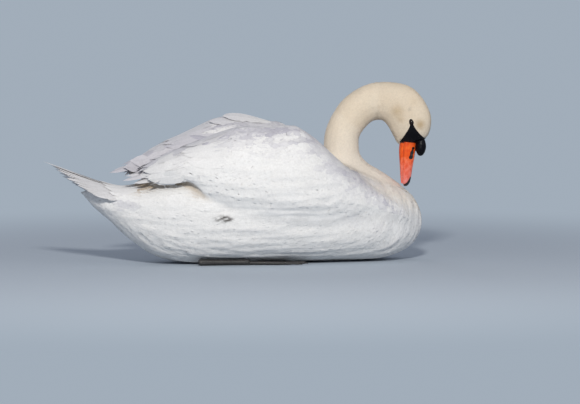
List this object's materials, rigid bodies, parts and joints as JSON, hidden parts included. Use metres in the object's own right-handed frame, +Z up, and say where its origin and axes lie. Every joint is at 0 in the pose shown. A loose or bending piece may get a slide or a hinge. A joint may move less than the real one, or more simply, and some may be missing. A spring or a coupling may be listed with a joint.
{
  "type": "mute swan",
  "caption": "Life-size still model of an adult mute swan in its swimming pose, resting on its belly with folded wings, a curved neck, a lowered bill and feet tucked under.",
  "frame": {"origin": "the middle of the flat under the belly, on the bird's plane of symmetry, at floor level", "axes": "+X forward towards the breast and bill, +Y to the bird's left, +Z up; the head is turned a little to the bird's right"},
  "size_m": [0.8357, 0.3364, 0.3858],
  "materials": {
    "plumage_white": "soft matte feathers",
    "plumage_cream": "soft matte feathers with a faint yellow stain",
    "bill_orange": "satin horn",
    "bill_black": "satin horn and bare skin",
    "eye_dark": "wet gloss",
    "foot_skin": "scaly skin"
  },
  "bodies": {
    "root": {"trunk": "plumage_white", "neck_base": "plumage_cream", "neck_middle": "plumage_cream", "neck_upper": "plumage_cream", "head": "plumage_cream", "bill_upper": "bill_orange", "bill_nail": "bill_black", "bill_lower": "bill_orange", "bill_knob": "bill_black", "eye_left": "eye_dark", "eye_right": "eye_dark", "wing_left": "plumage_white", "wing_right": "plumage_white", "wingtip_left": "plumage_white", "wingtip_right": "plumage_white", "tail": "plumage_white", "leg_left": "foot_skin", "leg_right": "foot_skin"}
  },
  "joints": []
}
